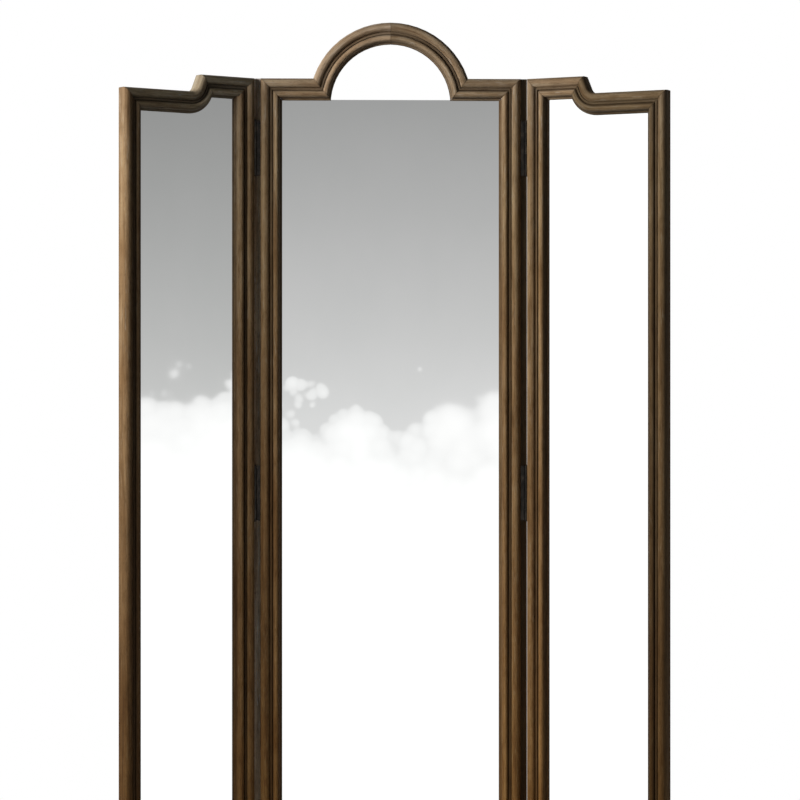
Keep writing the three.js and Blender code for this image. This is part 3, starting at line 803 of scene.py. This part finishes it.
def screw_head():
    """A low countersunk head with a cross slot, its axis on Z and its rim at Z 0."""
    bm = bmesh.new()
    profile = [(0.55, -0.9), (1, 0), (0.96, 0.5), (0.6, 0.9)]  # shares of the radius and the stand
    rings = []
    for share, height in profile:
        ring = []
        for k in range(SCREW_SIDES):
            turn = Matrix.Rotation(2 * math.pi * k / SCREW_SIDES, 3, "Z")
            across = turn @ Vector((share * SCREW_RADIUS, 0, 0))
            ring.append(bm.verts.new((across.x, across.y, height * SCREW_STAND)))
        rings.append(ring)
    for low, high in zip(rings, rings[1:]):
        for k in range(SCREW_SIDES):
            bm.faces.new((low[k - 1], low[k], high[k], high[k - 1]))
    bm.faces.new(reversed(rings[0]))
    bm.faces.new(rings[-1])
    mesh = bpy.data.meshes.new("screw_head")
    bm.to_mesh(mesh)
    bm.free()
    slots = bmesh.new()
    slot_size = (1.15 * SCREW_RADIUS, 0.24 * SCREW_RADIUS, 1.1 * SCREW_STAND)
    for turn in (0, math.pi / 2):
        bar = bmesh.ops.create_cube(slots, size=1)["verts"]
        bmesh.ops.scale(slots, verts=bar, vec=slot_size)
        bmesh.ops.translate(slots, verts=bar, vec=(0, 0, 0.9 * SCREW_STAND))
        bmesh.ops.rotate(slots, verts=bar, matrix=Matrix.Rotation(turn, 3, "Z"))
    cutter_mesh = bpy.data.meshes.new("screw_slots")
    slots.to_mesh(cutter_mesh)
    slots.free()
    return cut_mesh(mesh, cutter_mesh)


def cut_mesh(mesh, cutter_mesh):
    """The mesh with the cutter taken out of it."""
    body = bpy.data.objects.new("cut_body", mesh)
    cutter = bpy.data.objects.new("cutter", cutter_mesh)
    for item in (body, cutter):
        bpy.context.scene.collection.objects.link(item)
    cut = body.modifiers.new("cut", "BOOLEAN")
    cut.operation = "DIFFERENCE"
    cut.object = cutter
    cut.use_self = True
    result = bpy.data.meshes.new_from_object(body.evaluated_get(bpy.context.evaluated_depsgraph_get()))
    for item in (body, cutter):
        bpy.data.objects.remove(item)
    return result


def joined_copies(name, source, placements, material, body):
    """One piece made of copies of a mesh at the given matrices."""
    bm = bmesh.new()
    for placement in placements:
        copy = source.copy()
        copy.transform(placement)
        if placement.determinant() < 0:
            copy.flip_normals()
        bm.from_mesh(copy)
        bpy.data.meshes.remove(copy)
    mesh = bpy.data.meshes.new(name)
    bm.to_mesh(mesh)
    bm.free()
    mesh.shade_smooth()
    mesh.set_sharp_from_angle(angle=SHARP_ANGLE)
    mesh.materials.clear()
    mesh.materials.append(material)
    piece = bpy.data.objects.new(name, mesh)
    bpy.context.scene.collection.objects.link(piece)
    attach(piece, body)


def unit_block():
    bm = bmesh.new()
    bmesh.ops.create_cube(bm, size=1)
    mesh = bpy.data.meshes.new("block")
    bm.to_mesh(mesh)
    bm.free()
    return mesh


def wing_matrix(side):
    """From the wing's own plane (across, toward the back, up) about its hinge axis to the shared frame."""
    sign = SIDES[side]
    turned = Matrix.Translation((AXIS_X, AXIS_Y, 0)) @ Matrix.Rotation(-REST_FOLD[side], 4, "Z")
    return Matrix.Translation((CENTRE_X, 0, 0)) @ Matrix.Diagonal((sign, 1, 1, 1)) @ turned


def make_hinges(metal):
    head = screw_head()
    face_front = Matrix.Rotation(math.pi / 2, 4, "X")
    face_centre = Matrix.Rotation(-math.pi / 2, 4, "Y")
    for side, sign in SIDES.items():
        for level in HINGE_LEVELS:
            name = f"{side}_{level}_hinge"
            shaped_piece(f"{name}_fixed_leaf", "centre_panel", metal)
            shaped_piece(f"{name}_pin", "centre_panel", metal)
            shaped_piece(f"{name}_moving_leaf", f"{side}_wing", metal)
            low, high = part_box(f"{name}_fixed_leaf")
            middle = (low.z + high.z) / 2
            heights = [middle + step * SCREW_SPACING for step in (-1, 0, 1)]
            edge = low.x if sign > 0 else high.x
            leaf_x = (edge + CENTRE_X + sign * (AXIS_X - BARREL_RADIUS)) / 2
            leaf_y = high.y - LEAF_THICKNESS
            fixed = []
            moving = []
            for k, z in enumerate(heights):
                fixed_turn = Matrix.Rotation(FIXED_SCREW_TURN * k, 4, "Z")
                fixed.append(Matrix.Translation((leaf_x, leaf_y, z)) @ face_front @ fixed_turn)
                moving_turn = Matrix.Rotation(MOVING_SCREW_TURN * k, 4, "Z")
                place = Matrix.Translation((AXIS_TO_WING, MOVING_SCREW_DEPTH, z))
                moving.append(wing_matrix(side) @ place @ face_centre @ moving_turn)
            joined_copies(f"{name}_fixed_screws", head, fixed, metal, "centre_panel")
            joined_copies(f"{name}_moving_screws", head, moving, metal, f"{side}_wing")


def make_points(metal):
    """Flat points in the rabbets of the stiles, which hold the back boards in."""
    size = Matrix.Diagonal((POINT_REACH, POINT_THICKNESS, POINT_WIDTH, 1))
    low = BASE_HEIGHT + MOULDING_WIDTH + POINT_MARGIN
    heights = [low + k * POINT_SPACING for k in range(POINT_COUNT)]
    wall = MOULDING_WIDTH - RABBET_WIDTH
    lift = BOARD_SETBACK - POINT_THICKNESS / 2
    reach = HALF_CENTRE - wall - POINT_REACH / 2
    centre = []
    for x in (-reach, reach):
        centre += [Matrix.Translation((CENTRE_X + x, BACK_Y - lift, z)) @ size for z in heights]
    joined_copies("centre_board_points", unit_block(), centre, metal, "centre_panel")
    near = AXIS_TO_WING + wall + POINT_REACH / 2
    far = AXIS_TO_WING + WING_WIDTH - wall - POINT_REACH / 2
    depth = MOULDING_DEPTH - AXIS_DEPTH - lift
    for side in SIDES:
        wing = []
        for x in (near, far):
            wing += [wing_matrix(side) @ Matrix.Translation((x, depth, z)) @ size for z in heights]
        joined_copies(f"{side}_wing_board_points", unit_block(), wing, metal, f"{side}_wing")


def make_crown_glue(material):
    """The glue between the two halves of the arch: beside their rabbet and in front of it."""
    top = RAIL_TOP + ARCH_RISE
    sight = top - MOULDING_WIDTH
    blocks = (
        (sight + RABBET_WIDTH, top - GLUE_INSET, GLUE_INSET),
        (sight + GLUE_INSET, sight + RABBET_WIDTH, RABBET_DEPTH + GLUE_INSET),
    )
    places = []
    for low, high, back in blocks:
        middle = (CENTRE_X, BACK_Y - (back + GLUE_FRONT) / 2, (low + high) / 2)
        size = Matrix.Diagonal((GLUE_THICKNESS, GLUE_FRONT - back, high - low, 1))
        places.append(Matrix.Translation(middle) @ size)
    joined_copies("crown_glue", unit_block(), places, material, "centre_panel")


def make_glides(nylon):
    for side in SIDES:
        shaped_piece(f"centre_{side}_glide", "centre_panel", nylon)
        for place in ("inner", "outer"):
            shaped_piece(f"{side}_wing_{place}_glide", f"{side}_wing", nylon)


make_camera()
make_surroundings()
make_lights()
make_floor()
board = hardboard()
metal = dark_metal()
make_mouldings(stained_oak("stained_oak"), oaks_with_painted_light())
dress_plates(silvered_glass(), board)
make_crown_glue(board)
make_hinges(metal)
make_points(metal)
make_glides(glide_nylon())

bpy.context.scene.view_settings.view_transform = "Standard"
